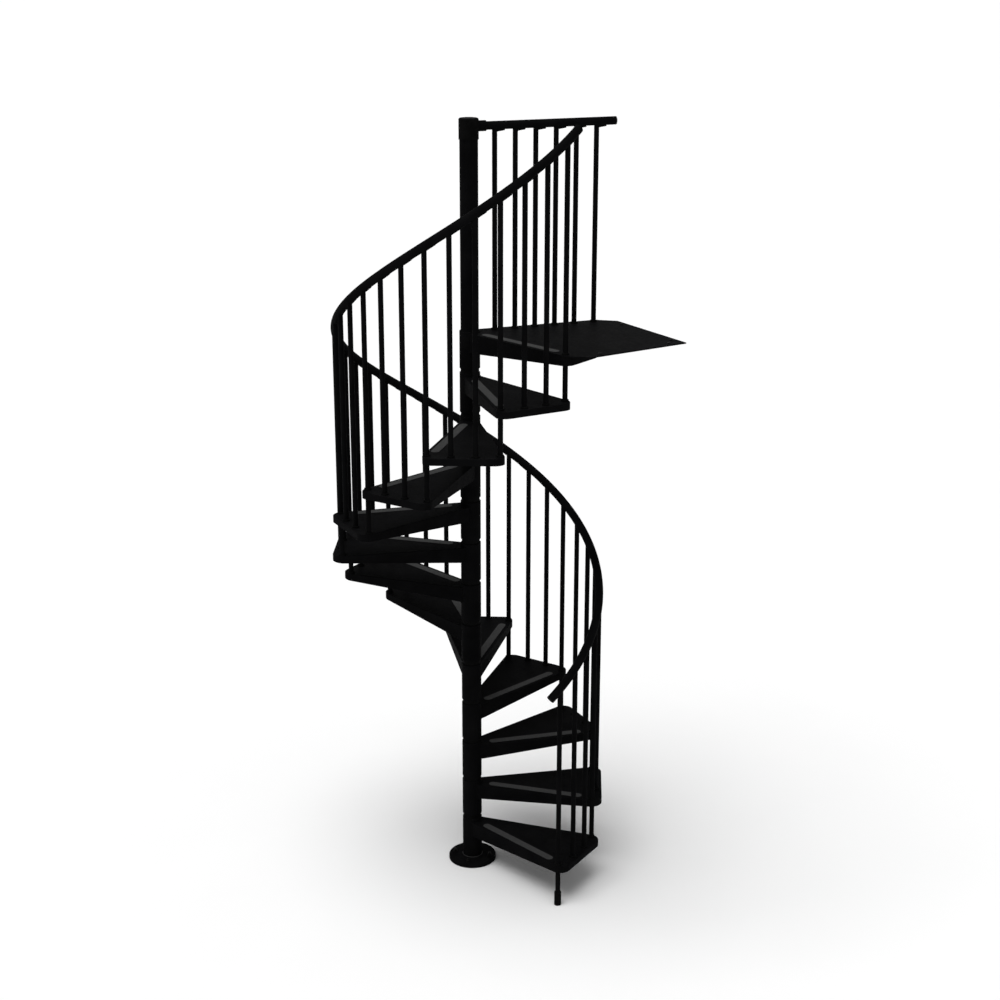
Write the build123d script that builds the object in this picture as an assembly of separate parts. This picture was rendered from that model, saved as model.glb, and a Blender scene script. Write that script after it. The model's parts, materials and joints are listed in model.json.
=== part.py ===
from build123d import *
import os
from math import atan, cos, degrees, radians, sin, sqrt, tan

# Modular steel spiral stair. Millimetres and degrees, +Z up.
# Origin: centre of the base flange's underside, on the centre pole's axis.
# The landing's two straight outer sides face +X and +Y; the flight climbs
# counter-clockwise seen from above.

# ---- flight ----
tread_count = 12
first_rise = 230.0            # floor to the top of the first tread
riser = 221.9                 # one tread top to the next
tread_turn = 30.07            # turn from one tread's nose line to the next
first_nose_angle = 10.3       # nose line of the first tread, from +X

# ---- clearances ----
slide_gap = 0.5               # radial play of sleeves and rings on the pole
seat_gap = 0.1                # play between pieces clamped or welded together
baluster_play = 0.25          # radial play of a baluster in its hole
ring_to_skirt = 3.25          # joint balusters' lock rings to the tread skirts

# ---- centre column ----
pole_diameter = 88.9
pole_wall = 4.0
sleeve_wall = 5.85
sleeve_chamfer = 1.0
sleeve_above_landing = 5.0
spacer_ring_wall = 0.8
spacer_ring_height = 21.0
joint_above_tread = 29.5      # middle of a spacer ring above a tread's top

# ---- base flange ----
flange_diameter = 250.0
flange_thickness = 20.0
flange_edge_radius = 3.0
flange_pocket_floor = 6.0     # steel left under the pole's end
weld_bead = 6.0
anchor_circle = 190.0
anchor_hole_diameter = 14.0
anchor_count = 4

# ---- treads ----
tread_reach = 686.0           # axis to the straight outer side
tread_edge_turn_in = 1.35     # side edges turn in from the nose lines
tread_corner_radius = 50.0
tread_sheet = 4.0
tread_depth_hub = 78.0
tread_depth_outer = 33.0
tread_edge_radius = 2.5
tread_rib_end_gap = 40.0      # rib stops short of the outer side

# ---- anti-slip strips ----
strip_width = 40.0
strip_thickness = 1.5
strip_start = 95.0            # distance of the inner end from the axis
strip_end_gap = 89.0          # outer end to the tread's outer side
strip_turn = 1.4              # behind the nose line

# ---- balusters ----
baluster_diameter = 25.0
baluster_inset = 28.0         # middle of a baluster to the tread's outer side
balusters_per_tread = 3
baluster_tail = 30.0          # length below a tread's top
collar_wall = 5.25
collar_height = 8.0
lock_ring_wall = 1.5
lock_ring_height = 6.0
foot_wall = 5.25
foot_height = 75.0
foot_floor = 8.0
foot_edge_radius = 3.0

# ---- handrail ----
handrail_inset = 3.0          # centre line inside the balusters' circle
handrail_diameter = 42.0
handrail_height = 974.0       # centre line above each tread's nose
handrail_lower_overrun = 5.1  # past the first baluster
handrail_upper_overrun = 6.5  # past the last baluster
plug_thickness = 3.0

# ---- saddles: tongues that tie each baluster to the rail above it ----
saddle_length = 38.0          # beyond the baluster's side
saddle_tip_radius = 5.0
handrail_saddle_width = 12.0
handrail_saddle_depth = 2.4   # under the rail, beside the baluster
handrail_saddle_tip = 1.5     # under the rail, at the tip
landing_saddle_width = 14.0
landing_saddle_depth = 11.0
landing_saddle_tip = 4.5

# ---- landing ----
landing_margin = 64.0         # straight outer sides beyond the treads' reach
landing_half_width = 395.0    # across the landing's diagonal
landing_plate = 6.0
landing_arm_half_angle = 7.5
landing_arm_extra = 4.0       # arms beyond the treads' reach
landing_arm_corner_radius = 40.0
landing_arm_depth_hub = 90.0
landing_arm_depth_outer = 42.0
landing_fixing_diameter = 11.0
landing_fixing_spacing = 400.0
landing_fixing_inset = 30.0

# ---- landing rail ----
landing_rail_angle = 77.6
landing_rail_height = 986.0
landing_rail_diameter = 40.0
landing_rail_overhang = 97.0  # past the last post
landing_post_first = 130.0
landing_post_inset = 37.0     # last post to the end of the landing's arm
landing_post_count = 6
cap_wall = 3.45
cap_above_rail = 39.0
cap_below_rail = 60.0
cap_edge_radius = 8.0
bracket_diameter = 51.0
bracket_length = 36.0

# ---- worked-out values ----
full_turn = 360.0
square_turn = full_turn / 4
overcut = 1.0                 # a cut starts this far outside the solid
through = 4 * landing_arm_depth_hub
pole_radius = pole_diameter / 2
sleeve_bore = pole_radius + slide_gap
sleeve_radius = sleeve_bore + sleeve_wall
hub_clear = sleeve_radius + seat_gap
baluster_radius = baluster_diameter / 2
baluster_hole_radius = baluster_radius + baluster_play
baluster_circle = tread_reach - baluster_inset
lock_ring_radius = baluster_hole_radius + lock_ring_wall
tread_half_angle = tread_turn / 2 - tread_edge_turn_in
edge_offset = (baluster_circle * sin(radians(tread_edge_turn_in))
               + lock_ring_radius + ring_to_skirt + tread_sheet)
handrail_circle = baluster_circle - handrail_inset
landing_top = first_rise + tread_count * riser
landing_side = tread_reach + landing_margin
landing_diagonal = landing_half_width * sqrt(2)
landing_nose_angle = first_nose_angle + tread_count * tread_turn
landing_edge_angle = landing_nose_angle - full_turn + tread_edge_turn_in
landing_arm_angle = landing_edge_angle + landing_arm_half_angle
landing_arm_reach = tread_reach + landing_arm_extra
landing_post_last = landing_arm_reach - landing_post_inset
landing_rail_end = landing_post_last + landing_rail_overhang
cap_radius = pole_radius + seat_gap + cap_wall
bracket_end = cap_radius + bracket_length
baluster_turn = tread_turn / balusters_per_tread
baluster_total = tread_count * balusters_per_tread + 1
climb_per_degree = riser / tread_turn
handrail_slope = degrees(atan(climb_per_degree / radians(1) / handrail_circle))
rail_z = landing_top + landing_rail_height

os.makedirs("parts", exist_ok=True)


def save(name, solids):
    """Write one node: a solid, or several solids that don't touch."""
    shapes = solids if isinstance(solids, list) else [solids]
    shape = shapes[0] if len(shapes) == 1 else Compound(children=shapes)
    shape.label = name
    export_step(shape, os.path.join("parts", name + ".step"))


def rod(radius, bottom, top):
    """A straight solid bar on the Z axis."""
    return Pos(0, 0, (bottom + top) / 2) * Cylinder(radius, top - bottom)


def tube(outer_radius, inner_radius, bottom, top):
    """A straight tube on the Z axis."""
    return rod(outer_radius, bottom, top) - rod(inner_radius, bottom - overcut, top + overcut)


def at(circle, angle, shape):
    """Carry a shape out along X and round the axis."""
    return Rot(0, 0, angle) * Pos(circle, 0, 0) * shape


def tread_top(number):
    return first_rise + (number - 1) * riser


def handrail_point(angle):
    """Height of the handrail's centre line at an angle round the axis."""
    rise = (angle - first_nose_angle) * climb_per_degree
    return first_rise + handrail_height + rise


# ---------------- trays: treads and landing arms ----------------

def tray_outline(half_angle, reach, corner_radius):
    """Plan of a wedge, pointing along +X, with rounded outer corners."""
    inner_half = edge_offset / cos(radians(half_angle))
    outer_half = inner_half + reach * tan(radians(half_angle))
    corners = [(0, -inner_half), (reach, -outer_half), (reach, outer_half), (0, inner_half)]
    plan = make_face(Polyline(*corners, close=True))
    outer_corners = plan.vertices().group_by(Axis.X)[-1]
    return fillet(outer_corners, corner_radius)


def below_taper(reach, depth_hub, depth_outer):
    """Everything under the line from the hub's depth to the outer end's depth."""
    slope = (depth_hub - depth_outer) / (reach - sleeve_radius)
    depth_axis = depth_hub + slope * sleeve_radius
    far = 2 * reach
    profile = Plane.XZ * make_face(Polyline(
        (0, -depth_axis), (far, -depth_axis + slope * far), (far, -through), (0, -through),
        close=True))
    return extrude(profile, reach, both=True)


def tray(half_angle, reach, depth_hub, depth_outer, corner_radius):
    """Folded sheet: flat top at z = 0 and skirts that taper outwards."""
    outline = tray_outline(half_angle, reach, corner_radius)
    block = extrude(outline, -depth_hub)
    block = fillet(block.faces().sort_by(Axis.Z)[-1].edges(), tread_edge_radius)
    inside = offset(outline, -tread_sheet, kind=Kind.INTERSECTION)
    hollow = Pos(0, 0, -tread_sheet) * extrude(inside, -depth_hub)
    shell = block - hollow - below_taper(reach, depth_hub, depth_outer)
    return shell - Cylinder(hub_clear, through)


def tread_rib():
    """Stiffening plate on edge under a tread's middle line."""
    length = tread_reach - tread_rib_end_gap
    depth = tread_depth_hub - tread_sheet
    rib = Pos(length / 2, 0, -tread_sheet - depth / 2) * Box(length, tread_sheet, depth)
    rib -= below_taper(tread_reach, tread_depth_hub, tread_depth_outer)
    return rib - Cylinder(hub_clear, through)


def baluster_hole():
    return Cylinder(baluster_hole_radius, through)


def tread():
    """One tread, pointing along +X, with its four baluster holes."""
    shape = tray(tread_half_angle, tread_reach, tread_depth_hub, tread_depth_outer,
                 tread_corner_radius)
    shape += tread_rib()
    for index in range(balusters_per_tread + 1):
        angle = -tread_turn / 2 + index * baluster_turn
        shape -= at(baluster_circle, angle, baluster_hole())
    return shape


# ---------------- centre column ----------------

def base_flange():
    disc = rod(flange_diameter / 2, 0, flange_thickness)
    disc = fillet(disc.edges().sort_by(Axis.Z)[-1], flange_edge_radius)
    bead = Plane.XZ * make_face(Polyline(
        (hub_clear, flange_thickness), (hub_clear + weld_bead, flange_thickness),
        (hub_clear, flange_thickness + weld_bead), close=True))
    disc += revolve(bead, Axis.Z)
    disc -= rod(pole_radius + seat_gap, flange_pocket_floor, flange_thickness + overcut)
    for index in range(anchor_count):
        angle = (index + 0.5) * full_turn / anchor_count
        disc -= at(anchor_circle / 2, angle, Cylinder(anchor_hole_diameter / 2, through))
    return disc


def joint_height(number):
    """Middle of the spacer ring above a tread."""
    return tread_top(number) + joint_above_tread


def hub_sleeve(bottom, top):
    body = rod(sleeve_radius, bottom, top)
    body = chamfer(body.edges().filter_by(GeomType.CIRCLE), sleeve_chamfer)
    return body - rod(sleeve_bore, bottom - overcut, top + overcut)


def hub_sleeves():
    sleeves = []
    bottom = flange_thickness
    for number in range(1, tread_count + 1):
        top = joint_height(number) - spacer_ring_height / 2
        sleeves.append(hub_sleeve(bottom, top))
        bottom = top + spacer_ring_height
    sleeves.append(hub_sleeve(bottom, landing_top + sleeve_above_landing))
    return sleeves


def spacer_rings():
    half = spacer_ring_height / 2
    radius = sleeve_bore + spacer_ring_wall
    return [tube(radius, sleeve_bore, joint_height(n) - half, joint_height(n) + half)
            for n in range(1, tread_count + 1)]


def centre_pole():
    top = rail_z + cap_above_rail - cap_wall
    return tube(pole_radius, pole_radius - pole_wall, flange_pocket_floor, top)


def pole_cap():
    bottom = rail_z - cap_below_rail
    top = rail_z + cap_above_rail
    cap = rod(cap_radius, bottom, top)
    cap = fillet(cap.edges().sort_by(Axis.Z)[-1], cap_edge_radius)
    return cap - rod(pole_radius + seat_gap, bottom - overcut, top - cap_wall)


# ---------------- balusters ----------------

def baluster_angle(index):
    return first_nose_angle + index * baluster_turn


def rail_cutter(angle):
    """Straight stand-in for the handrail where a baluster meets it."""
    radius = handrail_diameter / 2 + seat_gap
    bar = Rot(handrail_slope - square_turn, 0, 0) * Cylinder(radius, through)
    return at(handrail_circle, angle, Pos(0, 0, handrail_point(angle)) * bar)


def baluster(index, bottom):
    angle = baluster_angle(index)
    bar = at(baluster_circle, angle, rod(baluster_radius, bottom, handrail_point(angle)))
    trimmed = bar - rail_cutter(angle)
    return trimmed.solids().sort_by(Axis.Z)[0]


def joint_balusters():
    bars = [baluster(0, foot_floor)]
    for number in range(1, tread_count + 1):
        bars.append(baluster(number * balusters_per_tread, tread_top(number) - baluster_tail))
    return bars


def middle_balusters():
    bars = []
    for number in range(1, tread_count + 1):
        for step in range(1, balusters_per_tread):
            index = (number - 1) * balusters_per_tread + step
            bars.append(baluster(index, tread_top(number) - baluster_tail))
    return bars


def baluster_foot():
    foot = rod(baluster_hole_radius + foot_wall, 0, foot_height)
    foot = fillet(foot.edges().sort_by(Axis.Z)[-1], foot_edge_radius)
    foot -= rod(baluster_hole_radius, foot_floor, foot_height + overcut)
    return at(baluster_circle, first_nose_angle, foot)


def fixing_places():
    """Distance, angle, floor level and sheet thickness wherever a baluster is held."""
    places = []
    for number in range(1, tread_count + 1):
        for step in range(balusters_per_tread + 1):
            index = (number - 1) * balusters_per_tread + step
            places.append((baluster_circle, baluster_angle(index), tread_top(number), tread_sheet))
    held = landing_plate + tread_sheet
    places.append((baluster_circle, landing_nose_angle, landing_top, held))
    for distance in landing_post_distances():
        places.append((distance, landing_rail_angle, landing_top, held))
    return places


def baluster_collars():
    radius = baluster_hole_radius + collar_wall
    return [at(circle, angle, tube(radius, baluster_hole_radius, level, level + collar_height))
            for circle, angle, level, _ in fixing_places()]


def baluster_lock_rings():
    rings = []
    for circle, angle, level, held in fixing_places():
        top = level - held
        ring = tube(lock_ring_radius, baluster_hole_radius, top - lock_ring_height, top)
        rings.append(at(circle, angle, ring))
    return rings


# ---------------- handrail ----------------

def handrail_arc(start_angle, end_angle, radius):
    """A length of handrail between two angles round the axis."""
    turn = end_angle - start_angle
    path = Helix(pitch=full_turn * climb_per_degree, height=turn * climb_per_degree,
                 radius=handrail_circle)
    section = Plane(origin=path @ 0, z_dir=path % 0) * Circle(radius)
    arc = sweep(section, path=path, is_frenet=True)
    return Rot(0, 0, start_angle) * Pos(0, 0, handrail_point(start_angle)) * arc


def handrail_limits(number):
    start = first_nose_angle + (number - 1) * tread_turn
    end = start + tread_turn
    if number == 1:
        start -= handrail_lower_overrun
    if number == tread_count:
        end += handrail_upper_overrun
    return start, end


def handrail_plugs():
    plug_turn = degrees(plug_thickness * cos(radians(handrail_slope)) / handrail_circle)
    low = handrail_limits(1)[0]
    high = handrail_limits(tread_count)[1]
    radius = handrail_diameter / 2
    return [handrail_arc(low - plug_turn, low, radius), handrail_arc(high, high + plug_turn, radius)]


# ---------------- saddles ----------------

def saddle_blank(width, top, bottom, tip_bottom):
    """A tongue that leaves the Z axis along +Y; the heights are measured from the rail's axis."""
    length = baluster_radius + saddle_length
    profile = Plane.YZ * make_face(Polyline(
        (0, top), (length, top), (length, tip_bottom), (0, bottom), close=True))
    tongue = extrude(profile, width / 2, both=True)
    tip_edges = tongue.edges().filter_by(Axis.Z).group_by(Axis.Y)[-1]
    return fillet(tip_edges, saddle_tip_radius)


def handrail_saddles():
    """A flat saddle under the rail at the first baluster, and a copy of it at every other."""
    height = handrail_point(first_nose_angle)
    under = -handrail_diameter / 2
    tongue = saddle_blank(handrail_saddle_width, under - seat_gap, under - handrail_saddle_depth,
                          under - handrail_saddle_tip)
    tongue = Rot(handrail_slope, 0, 0) * tongue
    tongue = at(handrail_circle, first_nose_angle, Pos(0, 0, height) * tongue)
    bar = at(baluster_circle, first_nose_angle, rod(baluster_radius + seat_gap, 0, 2 * height))
    first = (tongue - bar).solids().sort_by(Axis.Z)[-1]
    climb = baluster_turn * climb_per_degree
    return [Rot(0, 0, n * baluster_turn) * Pos(0, 0, n * climb) * first
            for n in range(baluster_total)]


def landing_saddles():
    rail_radius = landing_rail_diameter / 2
    tongue = saddle_blank(landing_saddle_width, 0, -rail_radius - landing_saddle_depth,
                          -rail_radius - landing_saddle_tip)
    tongue = Rot(0, 0, -square_turn) * tongue
    tongue -= Rot(0, square_turn, 0) * Cylinder(rail_radius + seat_gap, through)
    tongue -= Cylinder(baluster_radius + seat_gap, through)
    return [at(distance, landing_rail_angle, Pos(0, 0, rail_z) * tongue)
            for distance in landing_post_distances()]


# ---------------- landing ----------------

def landing_outline():
    edge = radians(landing_edge_angle)
    reach = (landing_diagonal - edge_offset * (sin(edge) + cos(edge))) / (cos(edge) - sin(edge))
    inner = (edge_offset * sin(edge), -edge_offset * cos(edge))
    outer = (inner[0] + reach * cos(edge), inner[1] + reach * sin(edge))
    side = (landing_side, landing_side - landing_diagonal)
    half = [inner, outer, side]
    mirrored = [(y, x) for x, y in reversed(half)]
    return make_face(Polyline(*half, (landing_side, landing_side), *mirrored, close=True))


def landing_post_distances():
    step = (landing_post_last - landing_post_first) / (landing_post_count - 1)
    return [landing_post_first + index * step for index in range(landing_post_count)]


def landing_holes():
    holes = [at(baluster_circle, landing_nose_angle, baluster_hole())]
    holes += [at(d, landing_rail_angle, baluster_hole()) for d in landing_post_distances()]
    return [Pos(0, 0, landing_top) * hole for hole in holes]


def landing_plate_solid():
    plate = extrude(landing_outline(), landing_plate)
    plate = Pos(0, 0, landing_top - landing_plate) * plate
    plate -= Pos(0, 0, landing_top) * Cylinder(hub_clear, through)
    for hole in landing_holes():
        plate -= hole
    middle = landing_side - landing_diagonal / 2
    inset = landing_side - landing_fixing_inset
    bolt = Cylinder(landing_fixing_diameter / 2, through)
    for shift in (-landing_fixing_spacing / 2, landing_fixing_spacing / 2):
        plate -= Pos(inset, middle + shift, landing_top) * bolt
        plate -= Pos(middle + shift, inset, landing_top) * bolt
    return plate


def across_diagonal(angle):
    """Everything on the far side of the landing's diagonal from an arm."""
    half = 2 * landing_side
    away = 1 if angle < square_turn / 2 else -1
    block = Pos(0, away * (half - seat_gap / 2), 0) * Box(2 * half, 2 * half, 2 * half)
    return Pos(0, 0, landing_top) * Rot(0, 0, square_turn / 2) * block


def landing_arm(angle):
    """Tray that carries one side of the landing plate."""
    arm = tray(landing_arm_half_angle, landing_arm_reach, landing_arm_depth_hub,
               landing_arm_depth_outer, landing_arm_corner_radius)
    arm = Rot(0, 0, angle) * Pos(0, 0, landing_top - landing_plate) * arm
    for hole in landing_holes():
        arm -= hole
    return arm - across_diagonal(angle)


# ---------------- landing rail ----------------

def landing_rail_part(radius, start, end):
    """A round bar on the landing rail's line, between two distances from the axis."""
    bar = Pos((start + end) / 2, 0, rail_z) * Rot(0, square_turn, 0) * Cylinder(radius, end - start)
    return Rot(0, 0, landing_rail_angle) * bar


def landing_bracket():
    bracket = landing_rail_part(bracket_diameter / 2, 0, bracket_end)
    return bracket - rod(cap_radius + seat_gap, landing_top, rail_z + through)


def landing_posts(rail):
    posts = []
    for distance in landing_post_distances():
        bar = rod(baluster_radius, landing_top - baluster_tail, rail_z)
        post = at(distance, landing_rail_angle, bar) - rail
        posts.append(post.solids().sort_by(Axis.Z)[0])
    return posts


# ---------------- strips ----------------

def strip(nose_angle, level):
    end = tread_reach - strip_end_gap
    band = extrude(SlotOverall(end - strip_start, strip_width), strip_thickness)
    return Pos(0, 0, level) * at((strip_start + end) / 2, nose_angle + strip_turn, band)


def anti_slip_strips():
    bands = [strip(first_nose_angle + (n - 1) * tread_turn, tread_top(n))
             for n in range(1, tread_count + 1)]
    bands.append(strip(landing_nose_angle, landing_top))
    return bands


# ---------------- write every node ----------------

save("base_flange", base_flange())
save("centre_pole", centre_pole())
save("hub_sleeves", hub_sleeves())
save("spacer_rings", spacer_rings())
save("pole_cap", pole_cap())

tread_shape = tread()
for number in range(1, tread_count + 1):
    tread_angle = first_nose_angle + (number - 0.5) * tread_turn
    placed = Pos(0, 0, tread_top(number)) * Rot(0, 0, tread_angle) * tread_shape
    save(f"tread_{number:02d}", placed)

save("landing_plate", landing_plate_solid())
save("landing_front_arm", landing_arm(landing_arm_angle))
save("landing_rear_arm", landing_arm(square_turn - landing_arm_angle))
save("anti_slip_strips", anti_slip_strips())

save("joint_balusters", joint_balusters())
save("middle_balusters", middle_balusters())
save("baluster_foot", baluster_foot())
save("baluster_collars", baluster_collars())
save("baluster_lock_rings", baluster_lock_rings())

for number in range(1, tread_count + 1):
    low, high = handrail_limits(number)
    save(f"handrail_{number:02d}", handrail_arc(low, high, handrail_diameter / 2))
save("handrail_plugs", handrail_plugs())

rail = landing_rail_part(landing_rail_diameter / 2, bracket_end, landing_rail_end)
save("landing_rail", rail)
save("landing_rail_bracket", landing_bracket())
save("landing_rail_plug", landing_rail_part(landing_rail_diameter / 2, landing_rail_end,
                                            landing_rail_end + plug_thickness))
save("landing_balusters", landing_posts(rail))
save("rail_saddles", handrail_saddles() + landing_saddles())
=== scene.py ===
import json
import math

import bmesh
import bpy
from mathutils import Matrix, Vector

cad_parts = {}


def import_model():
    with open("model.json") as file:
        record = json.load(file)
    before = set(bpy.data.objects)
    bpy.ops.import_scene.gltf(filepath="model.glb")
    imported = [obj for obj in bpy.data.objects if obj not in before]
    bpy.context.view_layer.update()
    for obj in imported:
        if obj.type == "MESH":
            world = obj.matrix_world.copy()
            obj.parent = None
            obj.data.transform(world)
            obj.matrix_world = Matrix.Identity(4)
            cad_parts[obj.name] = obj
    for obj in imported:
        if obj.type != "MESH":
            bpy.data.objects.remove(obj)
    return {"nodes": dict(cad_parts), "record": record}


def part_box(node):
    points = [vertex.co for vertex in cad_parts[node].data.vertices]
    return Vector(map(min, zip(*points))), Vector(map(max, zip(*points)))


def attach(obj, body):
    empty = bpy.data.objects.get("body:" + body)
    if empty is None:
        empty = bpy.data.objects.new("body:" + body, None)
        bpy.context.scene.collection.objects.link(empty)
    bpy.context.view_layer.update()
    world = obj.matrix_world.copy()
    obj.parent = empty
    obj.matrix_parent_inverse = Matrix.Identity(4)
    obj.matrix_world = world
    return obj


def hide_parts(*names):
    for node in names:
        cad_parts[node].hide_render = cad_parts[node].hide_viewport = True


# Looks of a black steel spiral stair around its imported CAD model. Metres, +Z up.

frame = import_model()
nodes = frame["nodes"]
mounts = {m["name"]: m for m in frame["record"]["mounts"]}
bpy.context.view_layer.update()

MM = 0.001
BODY = "root"
BALUSTER_BORE = 12.6 * MM         # radius of the hole that a baluster passes through
SHARP_ANGLE = math.radians(35)    # steeper folds in a mesh stay crisp


# ---------------- sizes read from the frame ----------------

def welded(name):
    """A node's mesh with its split vertices joined again."""
    mesh = bmesh.new()
    mesh.from_mesh(nodes[name].data)
    bmesh.ops.remove_doubles(mesh, verts=mesh.verts, dist=0.005 * MM)
    return mesh


def connected(items, neighbours):
    """Groups of vertices or faces that reach each other, in mesh order."""
    left = set(items)
    groups = []
    for start in items:
        if start not in left:
            continue
        left.remove(start)
        group = [start]
        stack = [start]
        while stack:
            for other in neighbours(stack.pop()):
                if other in left:
                    left.remove(other)
                    group.append(other)
                    stack.append(other)
        groups.append(group)
    return groups


def islands(name):
    """(lowest corner, highest corner) of each separate solid in a node."""
    mesh = welded(name)
    boxes = []
    for group in connected(list(mesh.verts), lambda v: [e.other_vert(v) for e in v.link_edges]):
        low = Vector(min(v.co[i] for v in group) for i in range(3))
        high = Vector(max(v.co[i] for v in group) for i in range(3))
        boxes.append((low, high))
    mesh.free()
    return boxes


sleeve_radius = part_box("hub_sleeves")[1].x
pole_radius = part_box("centre_pole")[1].x
tread_names = sorted(n for n in nodes if n.startswith("tread_"))
arm_names = ["landing_front_arm", "landing_rear_arm"]


# ---------------- materials ----------------

def new_material(name):
    material = bpy.data.materials.new(name)
    material.use_nodes = True
    tree = material.node_tree
    tree.nodes.clear()
    output = tree.nodes.new("ShaderNodeOutputMaterial")
    shader = tree.nodes.new("ShaderNodeBsdfPrincipled")
    tree.links.new(shader.outputs["BSDF"], output.inputs["Surface"])
    return material, tree, shader


def object_noise(tree, size, detail=2.0, roughness=0.5):
    """Noise whose grains are about one size across, in metres, fixed to the object."""
    place = tree.nodes.new("ShaderNodeTexCoord")
    noise = tree.nodes.new("ShaderNodeTexNoise")
    noise.inputs["Scale"].default_value = 1 / size
    noise.inputs["Detail"].default_value = detail
    noise.inputs["Roughness"].default_value = roughness
    tree.links.new(place.outputs["Object"], noise.inputs["Vector"])
    return noise.outputs["Fac"]


def ramp(tree, source, stops):
    """Colour ramp from (position, grey or colour) stops."""
    node = tree.nodes.new("ShaderNodeValToRGB")
    while len(node.color_ramp.elements) < len(stops):
        node.color_ramp.elements.new(1.0)
    for element, (position, value) in zip(node.color_ramp.elements, stops):
        element.position = position
        colour = value if isinstance(value, tuple) else (value,) * 3
        element.color = (*colour, 1)
    tree.links.new(source, node.inputs["Fac"])
    return node.outputs["Color"]


def bump(tree, shader, source, strength, distance, below=None):
    node = tree.nodes.new("ShaderNodeBump")
    node.inputs["Strength"].default_value = strength
    node.inputs["Distance"].default_value = distance
    tree.links.new(source, node.inputs["Height"])
    if below:
        tree.links.new(below, node.inputs["Normal"])
    tree.links.new(node.outputs["Normal"], shader.inputs["Normal"])
    return node.outputs["Normal"]


def edge_wear(tree, width, noise):
    """(wear near edges, broken up by noise, and the normal rounded over those edges)."""
    rounded = tree.nodes.new("ShaderNodeBevel")
    rounded.samples = 4
    rounded.inputs["Radius"].default_value = width
    flat = tree.nodes.new("ShaderNodeNewGeometry")
    turn = tree.nodes.new("ShaderNodeVectorMath")
    turn.operation = "DOT_PRODUCT"
    tree.links.new(rounded.outputs["Normal"], turn.inputs[0])
    tree.links.new(flat.outputs["Normal"], turn.inputs[1])
    edge = ramp(tree, turn.outputs["Value"], [(0.86, 1.0), (0.985, 0.0)])
    broken = ramp(tree, noise, [(0.42, 0.0), (0.62, 1.0)])
    both = tree.nodes.new("ShaderNodeMath")
    both.operation = "MULTIPLY"
    tree.links.new(edge, both.inputs[0])
    tree.links.new(broken, both.inputs[1])
    return both.outputs["Value"], rounded.outputs["Normal"]


def blend(tree, factor, first, second):
    """Colour that goes from one source or value to another with a factor."""
    node = tree.nodes.new("ShaderNodeMix")
    node.data_type = "RGBA"
    tree.links.new(factor, node.inputs["Factor"])
    for source, socket in ((first, node.inputs["A"]), (second, node.inputs["B"])):
        if isinstance(source, tuple):
            socket.default_value = (*source, 1)
        else:
            tree.links.new(source, socket)
    return node.outputs["Result"]


def coated_steel():
    """Satin black powder coat: orange peel, faint cloudiness and rubbed edges."""
    material, tree, shader = new_material("coated_steel")
    clouds = object_noise(tree, 90 * MM, 4.0)
    dark, light = (0.0026, 0.0026, 0.0028), (0.0044, 0.0044, 0.0047)
    coat = ramp(tree, clouds, [(0.3, dark), (0.7, light)])
    worn, rounded = edge_wear(tree, 1.2 * MM, object_noise(tree, 25 * MM, 4.0))
    colour = blend(tree, worn, coat, (0.0150, 0.0147, 0.0144))
    tree.links.new(colour, shader.inputs["Base Color"])
    rough = ramp(tree, object_noise(tree, 14 * MM, 3.0), [(0.3, 0.58), (0.7, 0.70)])
    tree.links.new(blend(tree, worn, rough, (0.45, 0.45, 0.45)), shader.inputs["Roughness"])
    shader.inputs["Specular IOR Level"].default_value = 0.006
    peel = bump(tree, shader, object_noise(tree, 2.2 * MM, 1.0), 0.25, 0.15 * MM, rounded)
    bump(tree, shader, object_noise(tree, 0.7 * MM), 0.10, 0.05 * MM, peel)
    return material


def black_plastic():
    """Matt black moulded plastic with a fine spark-eroded grain."""
    material, tree, shader = new_material("black_plastic")
    colour = ramp(tree, object_noise(tree, 30 * MM, 3.0), [(0.3, 0.0030), (0.7, 0.0050)])
    tree.links.new(colour, shader.inputs["Base Color"])
    rough = ramp(tree, object_noise(tree, 5 * MM), [(0.3, 0.55), (0.7, 0.68)])
    tree.links.new(rough, shader.inputs["Roughness"])
    shader.inputs["Specular IOR Level"].default_value = 0.006
    bump(tree, shader, object_noise(tree, 0.9 * MM), 0.2, 0.08 * MM)
    return material


def grip_strip():
    """Dark grey anti-slip strip: mineral grit in a rough binder."""
    material, tree, shader = new_material("grip_strip")
    place = tree.nodes.new("ShaderNodeTexCoord")
    grit = tree.nodes.new("ShaderNodeTexVoronoi")
    grit.inputs["Scale"].default_value = 1 / (1.6 * MM)
    tree.links.new(place.outputs["Object"], grit.inputs["Vector"])
    colour = ramp(tree, grit.outputs["Distance"], [(0.0, 0.058), (0.45, 0.036), (0.9, 0.022)])
    tree.links.new(colour, shader.inputs["Base Color"])
    shader.inputs["Roughness"].default_value = 0.85
    shader.inputs["Specular IOR Level"].default_value = 0.2
    bump(tree, shader, grit.outputs["Distance"], 0.5, -0.4 * MM)
    return material


def black_bolt():
    """Black-oxide bolts, nuts, washers and screws."""
    material, tree, shader = new_material("black_bolt")
    colour = ramp(tree, object_noise(tree, 6 * MM, 3.0), [(0.3, 0.0040), (0.7, 0.0085)])
    tree.links.new(colour, shader.inputs["Base Color"])
    rough = ramp(tree, object_noise(tree, 3 * MM), [(0.3, 0.42), (0.7, 0.55)])
    tree.links.new(rough, shader.inputs["Roughness"])
    shader.inputs["Metallic"].default_value = 0.35
    shader.inputs["Specular IOR Level"].default_value = 0.03
    bump(tree, shader, object_noise(tree, 1.1 * MM), 0.15, 0.05 * MM)
    return material


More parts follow.
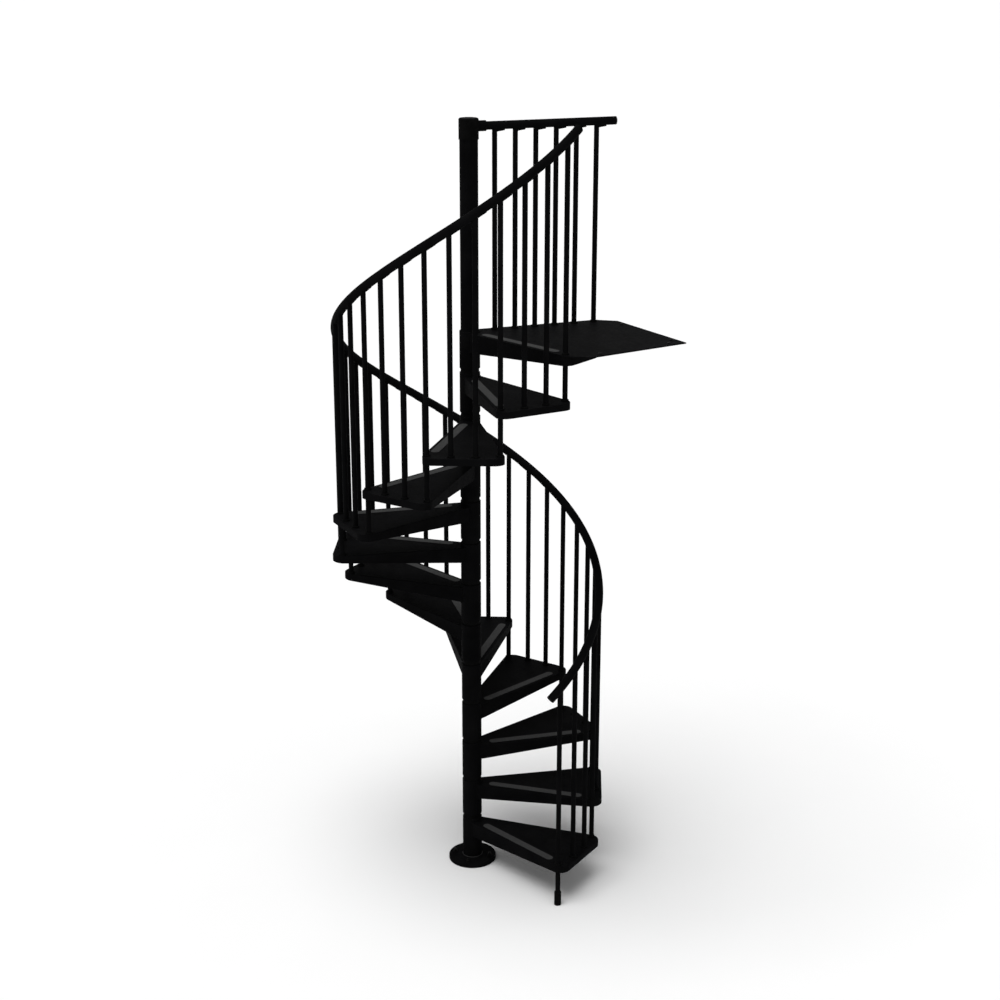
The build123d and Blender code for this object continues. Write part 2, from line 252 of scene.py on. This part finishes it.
def weld_bead_painted_highlight():
    """Weld metal under a thinner coat, glossier than the sheet; its lighter colour is partly that
    thinner coat and partly a painted highlight.
    """
    material, tree, shader = new_material("weld_bead_painted_highlight")
    # Lighter colour all round the bead: partly the thinner coat over the weld, partly a painted
    # highlight along it.
    colour = ramp(tree, object_noise(tree, 4 * MM, 3.0), [(0.3, 0.022), (0.7, 0.042)])
    tree.links.new(colour, shader.inputs["Base Color"])
    rough = ramp(tree, object_noise(tree, 3 * MM), [(0.3, 0.32), (0.7, 0.45)])
    tree.links.new(rough, shader.inputs["Roughness"])
    shader.inputs["Specular IOR Level"].default_value = 0.20
    bump(tree, shader, object_noise(tree, 1.5 * MM), 0.3, 0.15 * MM)
    return material


def floor_finish():
    """Even off-white floor, without gloss."""
    material, tree, shader = new_material("floor_finish")
    colour = ramp(tree, object_noise(tree, 0.6, 3.0), [(0.3, 0.965), (0.7, 0.975)])
    tree.links.new(colour, shader.inputs["Base Color"])
    shader.inputs["Roughness"].default_value = 0.9
    shader.inputs["Specular IOR Level"].default_value = 0.0
    return material


steel = coated_steel()
plastic = black_plastic()
grip = grip_strip()
bolt_black = black_bolt()
weld = weld_bead_painted_highlight()
by_slot = {"coated_steel": steel, "black_plastic": plastic, "grip_strip": grip}


def dress_cad_nodes():
    slot_of = {s["node"]: s["material_slot"] for s in frame["record"]["subparts"]}
    for name, node in nodes.items():
        node.data.materials.clear()
        node.data.materials.append(by_slot[slot_of[name]])


dress_cad_nodes()


# ---------------- mesh helpers ----------------

def add_piece(name, mesh, material):
    """Turn a bmesh into an object that rides on the stair: soft over rounds, crisp at edges."""
    bmesh.ops.recalc_face_normals(mesh, faces=mesh.faces)
    data = bpy.data.meshes.new(name)
    mesh.to_mesh(data)
    mesh.free()
    data.shade_smooth()
    data.set_sharp_from_angle(angle=SHARP_ANGLE)
    data.materials.append(material)
    piece = bpy.data.objects.new(name, data)
    bpy.context.scene.collection.objects.link(piece)
    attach(piece, BODY)
    return piece


def lathe(mesh, profile, place, segments=24):
    """Spin (radius, height) points round Z into a closed skin; place is a matrix."""
    rings = []
    for radius, height in profile:
        if radius < 1e-9:
            rings.append([mesh.verts.new(place @ Vector((0, 0, height)))])
            continue
        ring = []
        for step in range(segments):
            turn = 2 * math.pi * step / segments
            point = Vector((radius * math.cos(turn), radius * math.sin(turn), height))
            ring.append(mesh.verts.new(place @ point))
        rings.append(ring)
    for low, high in zip(rings, rings[1:]):
        for step in range(segments):
            after = (step + 1) % segments
            if len(low) == 1:
                mesh.faces.new((low[0], high[step], high[after]))
            elif len(high) == 1:
                mesh.faces.new((low[step], low[after], high[0]))
            else:
                mesh.faces.new((low[step], low[after], high[after], high[step]))


def closed_lathe(mesh, profile, place, segments=24):
    """As lathe, for a ring whose profile closes on itself."""
    lathe(mesh, [*profile, profile[0]], place, segments)
    bmesh.ops.remove_doubles(mesh, verts=mesh.verts, dist=0.001 * MM)


def arc(centre, radius, start, end, steps=4):
    """Points of a rounded corner in a profile, angles in degrees."""
    points = []
    for step in range(steps + 1):
        turn = math.radians(start + (end - start) * step / steps)
        points.append((centre[0] + radius * math.cos(turn), centre[1] + radius * math.sin(turn)))
    return points


def tube_along(mesh, points, radius, sides=8):
    """A closed tube with flat ends along a list of points."""
    rings = []
    side_way = None
    for index, point in enumerate(points):
        before = points[max(index - 1, 0)]
        after = points[min(index + 1, len(points) - 1)]
        ahead = (after - before).normalized()
        if side_way is None:
            side_way = ahead.orthogonal().normalized()
        side_way = (side_way - ahead * side_way.dot(ahead)).normalized()
        up_way = ahead.cross(side_way)
        ring = []
        for step in range(sides):
            turn = 2 * math.pi * step / sides
            away = side_way * math.cos(turn) + up_way * math.sin(turn)
            ring.append(mesh.verts.new(point + away * radius(index)))
        rings.append(ring)
    for low, high in zip(rings, rings[1:]):
        for step in range(sides):
            after = (step + 1) % sides
            mesh.faces.new((low[step], low[after], high[after], high[step]))
    mesh.faces.new(list(reversed(rings[0])))
    mesh.faces.new(rings[-1])


def hexagon(mesh, across_flats, bottom, top, place, chamfer=0.8 * MM):
    """A hexagonal nut or head with its top corners turned off."""
    corner = across_flats / math.sqrt(3)
    levels = [(corner, bottom), (corner, top - chamfer), (corner - chamfer, top)]
    lathe(mesh, [(0, bottom), *levels, (0, top)], place, 6)


# ---------------- welds ----------------

def hub_edge(name):
    """Angles and heights where a tread or arm meets its hub sleeve."""
    points = [v.co for v in nodes[name].data.vertices
              if math.hypot(v.co.x, v.co.y) < sleeve_radius + 1 * MM]
    low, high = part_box(name)
    middle = math.atan2((low.y + high.y) / 2, (low.x + high.x) / 2)
    turns = []
    for point in points:
        turn = math.atan2(point.y, point.x) - middle
        turns.append((turn + math.pi) % (2 * math.pi) - math.pi)
    return middle, min(turns), max(turns), min(p.z for p in points), max(p.z for p in points)


def on_sleeve(radius, turn, height):
    return Vector((radius * math.cos(turn), radius * math.sin(turn), height))


def welds():
    """Fillet beads where each tread and landing arm meets its hub sleeve."""
    mesh = bmesh.new()
    radius = sleeve_radius + 0.4 * MM
    bead = 3.0 * MM
    along = 26      # steps along the top edge
    up = 8          # steps up each side
    for name in [*tread_names, *arm_names]:
        middle, start, end, bottom, top = hub_edge(name)
        first, last = middle + start, middle + end
        rise = (top - bottom) / up
        path = [on_sleeve(radius, first, bottom + rise * s) for s in range(up)]
        path += [on_sleeve(radius, first + (last - first) * s / along, top)
                 for s in range(along + 1)]
        path += [on_sleeve(radius, last, top - rise * s) for s in range(1, up + 1)]
        tube_along(mesh, path, lambda index: bead * (1 + 0.10 * math.sin(index * 2.4)))
    return add_piece("hub_welds", mesh, steel)


# ---------------- fasteners ----------------

def anchor_bolts():
    """Nut, washer and stud end at each hole of the base flange."""
    mesh = bmesh.new()
    mount = mounts["floor_anchors"]
    circle = mount["dims"]["pcd_mm"] / 2 * MM
    level = mount["pos_m"][2]
    count = mount["dims"]["count"]
    washer = [(0, 0), (12 * MM, 0), (12 * MM, 2 * MM), (11.5 * MM, 2.5 * MM), (0, 2.5 * MM)]
    stud = [(0, 12.5 * MM), (6 * MM, 12.5 * MM), (6 * MM, 18 * MM), (5 * MM, 19 * MM),
            (0, 19 * MM)]
    for index in range(count):
        turn = 2 * math.pi * (index + 0.5) / count
        place = Matrix.Translation((circle * math.cos(turn), circle * math.sin(turn), level))
        place = place @ Matrix.Rotation(turn + 0.2 * index, 4, "Z")
        lathe(mesh, washer, place)
        hexagon(mesh, 19 * MM, 2.5 * MM, 12.5 * MM, place)
        lathe(mesh, stud, place)
    return add_piece("anchor_bolts", mesh, bolt_black)


def landing_screws():
    """Button-head screws through the landing's outer edges."""
    mesh = bmesh.new()
    dome = arc((5 * MM, 1.2 * MM), 3.75 * MM, 0, 80)
    socket = [(3.2 * MM, 4.9 * MM), (3.0 * MM, 2.2 * MM), (0, 2.2 * MM)]
    head = [(0, 0), (8.75 * MM, 0), (8.75 * MM, 1.2 * MM), *dome, *socket]
    rows = [("landing_bolts_x", 1, "spacing_y_mm"), ("landing_bolts_y", 0, "spacing_x_mm")]
    for name, axis, key in rows:
        mount = mounts[name]
        for side in (-0.5, 0.5):
            spot = Vector(mount["pos_m"])
            spot[axis] += side * mount["dims"][key] * MM
            lathe(mesh, head, Matrix.Translation(spot))
    return add_piece("landing_screws", mesh, bolt_black)


def flange_weld():
    """Rippled fillet weld between the base flange and the pole."""
    mesh = bmesh.new()
    radius = pole_radius + 4.2 * MM
    height = mounts["floor_anchors"]["pos_m"][2] + 2.4 * MM
    bead = 4.6 * MM
    steps = 240
    ripple_steps = 5
    sides = 8
    ring = []
    for index in range(steps):
        turn = 2 * math.pi * index / steps
        away = Vector((math.cos(turn), math.sin(turn), 0))
        size = bead * (1 + 0.06 * math.sin(index * 2 * math.pi / ripple_steps))
        circle = []
        for side in range(sides):
            around = 2 * math.pi * side / sides
            reach = away * math.cos(around) + Vector((0, 0, math.sin(around)))
            circle.append(mesh.verts.new(away * radius + Vector((0, 0, height)) + reach * size))
        ring.append(circle)
    for low, high in zip(ring, ring[1:] + ring[:1]):
        for side in range(sides):
            after = (side + 1) % sides
            mesh.faces.new((low[side], low[after], high[after], high[side]))
    return add_piece("flange_weld", mesh, weld)


def underside(name):
    """(centre, outward normal) of the underside of each solid in a node, lowest first."""
    mesh = welded(name)
    found = []
    for group in connected(list(mesh.faces), lambda f: [o for e in f.edges for o in e.link_faces]):
        below = [f for f in group if f.normal.z < -0.5]
        area = sum(f.calc_area() for f in below)
        centre = sum((f.calc_center_median() * f.calc_area() for f in below), Vector()) / area
        normal = sum((f.normal * f.calc_area() for f in below), Vector()).normalized()
        found.append((centre, normal))
    mesh.free()
    return sorted(found, key=lambda item: item[0].z)


def saddle_screws():
    """A low-head socket screw up through the middle of each rail saddle."""
    mesh = bmesh.new()
    head = [(0, -0.5 * MM), (4.0 * MM, -0.5 * MM), (4.0 * MM, 0.2 * MM), (3.2 * MM, 0.6 * MM),
            (1.5 * MM, 0.7 * MM), (1.4 * MM, 0.1 * MM), (0, 0.1 * MM)]
    for centre, normal in underside("rail_saddles"):
        place = Matrix.Translation(centre) @ normal.to_track_quat("Z", "Y").to_matrix().to_4x4()
        lathe(mesh, head, place, 12)
    return add_piece("saddle_screws", mesh, bolt_black)


def baluster_collars():
    """Moulded collars with rounded shoulders where balusters pass through."""
    mesh = bmesh.new()
    shoulder = 2.6 * MM
    for low, high in islands("baluster_collars"):
        centre = (low + high) / 2
        outer = (high.x - low.x) / 2
        height = high.z - low.z
        profile = [(BALUSTER_BORE, 0), (outer, 0), (outer, height - shoulder)]
        profile += arc((outer - shoulder, height - shoulder), shoulder, 0, 90)
        profile += [(BALUSTER_BORE, height)]
        closed_lathe(mesh, profile, Matrix.Translation((centre.x, centre.y, low.z)), 32)
    piece = add_piece("collars", mesh, plastic)
    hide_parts("baluster_collars")
    return piece


def foot():
    """Adjustable foot of the lowest baluster: rounded body, groove and floor pad."""
    mesh = bmesh.new()
    low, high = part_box("baluster_foot")
    centre = (low + high) / 2
    outer = (high.x - low.x) / 2
    height = high.z - low.z
    groove = outer - 1.5 * MM
    shoulder = 5 * MM
    profile = [(0, 0), (outer - 1 * MM, 0), (outer, 1 * MM), (outer, 9 * MM), (groove, 10 * MM),
               (groove, 11.5 * MM), (outer, 12.5 * MM), (outer, height - 6 * MM)]
    profile += arc((outer - shoulder, height - shoulder), shoulder, 0, 90)
    profile += [(BALUSTER_BORE, height), (0, height)]
    lathe(mesh, profile, Matrix.Translation((centre.x, centre.y, low.z)), 48)
    piece = add_piece("foot", mesh, plastic)
    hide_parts("baluster_foot")
    return piece


# ---------------- stage ----------------

FLOOR_RADIUS = 120.0              # metres
FLOOR_DROP = 0.5 * MM             # under the base flange and the foot
CAMERA_TURN = -32.1               # azimuth of the camera from the pole, degrees
CAMERA_BACK = 8.463               # metres from the pole along that azimuth
CAMERA_ASIDE = 0.148              # metres to the camera's right
CAMERA_HEIGHT = 4.828             # metres above the floor
CAMERA_PITCH = 18.323             # degrees downwards
CAMERA_LENS = 63.72               # mm
LAMPS = [                         # name, azimuth, elevation, strength, spread
    ("top_lamp", -80, 74, 2.4, 50),
    ("key_lamp", -75, 55, 0.10, 40),
    ("fill_lamp", 25, 45, 0.08, 50),
]


def stage():
    """Pale floor, wide enough to fill every view."""
    mesh = bmesh.new()
    bmesh.ops.create_circle(mesh, cap_ends=True, segments=96, radius=FLOOR_RADIUS)
    data = bpy.data.meshes.new("floor")
    mesh.to_mesh(data)
    mesh.free()
    data.materials.append(floor_finish())
    floor = bpy.data.objects.new("floor", data)
    floor.location.z = -FLOOR_DROP
    bpy.context.scene.collection.objects.link(floor)


def world():
    """Studio surround: seen as white to a little above the horizon, dim as a light."""
    surround = bpy.data.worlds.new("studio")
    surround.use_nodes = True
    tree = surround.node_tree
    place = tree.nodes.new("ShaderNodeTexCoord")
    split = tree.nodes.new("ShaderNodeSeparateXYZ")
    tree.links.new(place.outputs["Generated"], split.inputs["Vector"])
    seen = ramp(tree, split.outputs["Z"], [(0.0, 1.0), (0.28, 0.97), (0.42, 0.42), (1.0, 0.42)])
    light = ramp(tree, split.outputs["Z"], [(0.0, 0.22), (1.0, 0.30)])
    rays = tree.nodes.new("ShaderNodeLightPath")
    direct = rays.outputs["Is Camera Ray"]
    for kind in ("Is Glossy Ray", "Is Transmission Ray"):
        either = tree.nodes.new("ShaderNodeMath")
        either.operation = "MAXIMUM"
        tree.links.new(direct, either.inputs[0])
        tree.links.new(rays.outputs[kind], either.inputs[1])
        direct = either.outputs["Value"]
    tree.links.new(blend(tree, direct, light, seen), tree.nodes["Background"].inputs["Color"])
    bpy.context.scene.world = surround


def lamp(name, azimuth, elevation, strength, spread):
    """A broad, far lamp; azimuth is measured from +X, angles in degrees."""
    data = bpy.data.lights.new(name, "SUN")
    data.energy = strength
    data.angle = math.radians(spread)
    light = bpy.data.objects.new(name, data)
    turn, lift = math.radians(azimuth), math.radians(elevation)
    flat = math.cos(lift)
    to_lamp = Vector((math.cos(turn) * flat, math.sin(turn) * flat, math.sin(lift)))
    light.rotation_mode = "QUATERNION"
    light.rotation_quaternion = to_lamp.to_track_quat("Z", "Y")
    bpy.context.scene.collection.objects.link(light)


def camera():
    """The photograph's own viewpoint, tilted down to frame the stair without lens shift."""
    toward = math.radians(CAMERA_TURN)
    back = Vector((math.cos(toward), math.sin(toward), 0))
    right = Vector((-math.sin(toward), math.cos(toward), 0))
    data = bpy.data.cameras.new("camera")
    data.sensor_width = 36.0
    data.lens = CAMERA_LENS
    data.clip_end = 500
    view = bpy.data.objects.new("camera", data)
    view.location = CAMERA_BACK * back + CAMERA_ASIDE * right + Vector((0, 0, CAMERA_HEIGHT))
    pitch = math.radians(CAMERA_PITCH)
    ahead = -back * math.cos(pitch) - Vector((0, 0, math.sin(pitch)))
    view.rotation_mode = "QUATERNION"
    view.rotation_quaternion = (-ahead).to_track_quat("Z", "Y")
    bpy.context.scene.collection.objects.link(view)
    bpy.context.scene.camera = view


welds()
flange_weld()
anchor_bolts()
landing_screws()
saddle_screws()
baluster_collars()
foot()
stage()
world()
for settings in LAMPS:
    lamp(*settings)
camera()

scene = bpy.context.scene
scene.view_settings.view_transform = "Standard"
